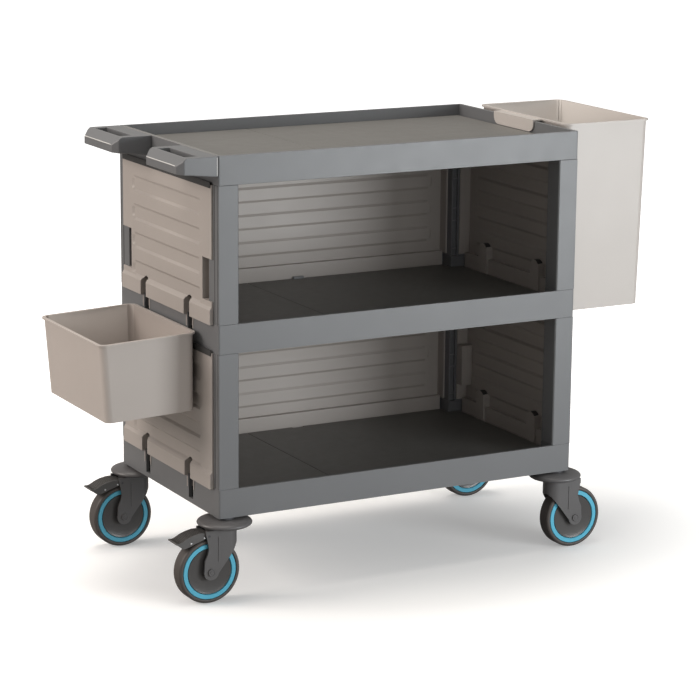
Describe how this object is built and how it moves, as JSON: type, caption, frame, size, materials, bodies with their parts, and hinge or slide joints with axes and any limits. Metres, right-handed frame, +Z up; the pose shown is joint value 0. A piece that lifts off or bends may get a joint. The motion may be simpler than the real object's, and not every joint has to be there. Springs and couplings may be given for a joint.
{
  "type": "housekeeping cart",
  "caption": "Hotel housekeeping cart with moulded trays on corner posts, clip-in end and back panels, push handles, hung bins and swivel castors with brakes.",
  "frame": {"origin": "on the floor, under the centre of the trays", "axes": "+Z up, +X along the cart from the push handles and small bin to the tall bin, +Y from the open loading side to the back panels"},
  "size_m": [1.4278, 0.616, 1.022],
  "materials": {
    "tray_plastic": "moulded grey structural foam, fine satin texture",
    "shelf_board": "plain grey board, slightly rough",
    "panel_plastic": "warm grey moulded sheet, fine satin texture",
    "tall_bin_plastic": "pale warm grey, smooth satin",
    "small_bin_plastic": "mid warm grey, smooth satin",
    "steel": "bright zinc-plated",
    "castor_plastic": "dark grey glass-filled nylon, low sheen",
    "wheel_ring": "sky blue, smooth",
    "tyre": "dark grey non-marking rubber, matt"
  },
  "bodies": {
    "cart": {"top_tray": "tray_plastic", "middle_tray": "tray_plastic", "base_tray": "tray_plastic", "top_shelf_small": "shelf_board", "top_shelf_large": "shelf_board", "middle_shelf_small": "shelf_board", "middle_shelf_large": "shelf_board", "base_shelf_small": "shelf_board", "base_shelf_large": "shelf_board", "upper_post_front_left": "tray_plastic", "upper_post_front_right": "tray_plastic", "upper_post_rear_left": "tray_plastic", "upper_post_rear_right": "tray_plastic", "lower_post_front_left": "tray_plastic", "lower_post_front_right": "tray_plastic", "lower_post_rear_left": "tray_plastic", "lower_post_rear_right": "tray_plastic", "tie_rods": "steel", "upper_left_panel": "panel_plastic", "upper_right_panel": "panel_plastic", "upper_back_panel": "panel_plastic", "lower_left_panel": "panel_plastic", "lower_right_panel": "panel_plastic", "lower_back_panel": "panel_plastic", "front_handle": "tray_plastic", "rear_handle": "tray_plastic", "kingpin_front_left": "steel", "bumper_front_left": "castor_plastic", "kingpin_front_right": "steel", "bumper_front_right": "castor_plastic", "kingpin_rear_left": "steel", "bumper_rear_left": "castor_plastic", "kingpin_rear_right": "steel", "bumper_rear_right": "castor_plastic"},
    "tall_bin": {"tall_bin": "tall_bin_plastic"},
    "small_bin": {"small_bin": "small_bin_plastic"},
    "castor_front_left": {"fork_front_left": "castor_plastic", "axle_front_left": "steel", "pedal_pin_front_left": "steel"},
    "wheel_front_left": {"hub_front_left": "castor_plastic", "ring_front_left": "wheel_ring", "tyre_front_left": "tyre"},
    "pedal_front_left": {"pedal_front_left": "castor_plastic"},
    "castor_front_right": {"fork_front_right": "castor_plastic", "axle_front_right": "steel"},
    "wheel_front_right": {"hub_front_right": "castor_plastic", "ring_front_right": "wheel_ring", "tyre_front_right": "tyre"},
    "castor_rear_left": {"fork_rear_left": "castor_plastic", "axle_rear_left": "steel", "pedal_pin_rear_left": "steel"},
    "wheel_rear_left": {"hub_rear_left": "castor_plastic", "ring_rear_left": "wheel_ring", "tyre_rear_left": "tyre"},
    "pedal_rear_left": {"pedal_rear_left": "castor_plastic"},
    "castor_rear_right": {"fork_rear_right": "castor_plastic", "axle_rear_right": "steel"},
    "wheel_rear_right": {"hub_rear_right": "castor_plastic", "ring_rear_right": "wheel_ring", "tyre_rear_right": "tyre"}
  },
  "joints": [
    {"name": "tall_bin_lift", "type": "slide", "parent": "cart", "child": "tall_bin", "axis": [0, 0, 1], "range_m": [0, 0.06]},
    {"name": "small_bin_lift", "type": "slide", "parent": "cart", "child": "small_bin", "axis": [0, 0, 1], "range_m": [0, 0.028]},
    {"name": "swivel_front_left", "type": "hinge", "parent": "cart", "child": "castor_front_left", "pos_m": [-0.44, -0.245, 0.166], "axis": [0, 0, 1], "continuous": true},
    {"name": "roll_front_left", "type": "hinge", "parent": "castor_front_left", "child": "wheel_front_left", "pos_m": [-0.485, -0.245, 0.075], "axis": [0, 1, 0], "continuous": true},
    {"name": "brake_front_left", "type": "hinge", "parent": "castor_front_left", "child": "pedal_front_left", "pos_m": [-0.49, -0.245, 0.16], "axis": [0, -1, 0], "range_deg": [0, 6]},
    {"name": "swivel_front_right", "type": "hinge", "parent": "cart", "child": "castor_front_right", "pos_m": [0.44, -0.245, 0.166], "axis": [0, 0, 1], "continuous": true},
    {"name": "roll_front_right", "type": "hinge", "parent": "castor_front_right", "child": "wheel_front_right", "pos_m": [0.485, -0.245, 0.075], "axis": [0, 1, 0], "continuous": true},
    {"name": "swivel_rear_left", "type": "hinge", "parent": "cart", "child": "castor_rear_left", "pos_m": [-0.44, 0.245, 0.166], "axis": [0, 0, 1], "continuous": true},
    {"name": "roll_rear_left", "type": "hinge", "parent": "castor_rear_left", "child": "wheel_rear_left", "pos_m": [-0.485, 0.245, 0.075], "axis": [0, 1, 0], "continuous": true},
    {"name": "brake_rear_left", "type": "hinge", "parent": "castor_rear_left", "child": "pedal_rear_left", "pos_m": [-0.49, 0.245, 0.16], "axis": [0, -1, 0], "range_deg": [0, 6]},
    {"name": "swivel_rear_right", "type": "hinge", "parent": "cart", "child": "castor_rear_right", "pos_m": [0.44, 0.245, 0.166], "axis": [0, 0, 1], "continuous": true},
    {"name": "roll_rear_right", "type": "hinge", "parent": "castor_rear_right", "child": "wheel_rear_right", "pos_m": [0.485, 0.245, 0.075], "axis": [0, 1, 0], "continuous": true}
  ]
}
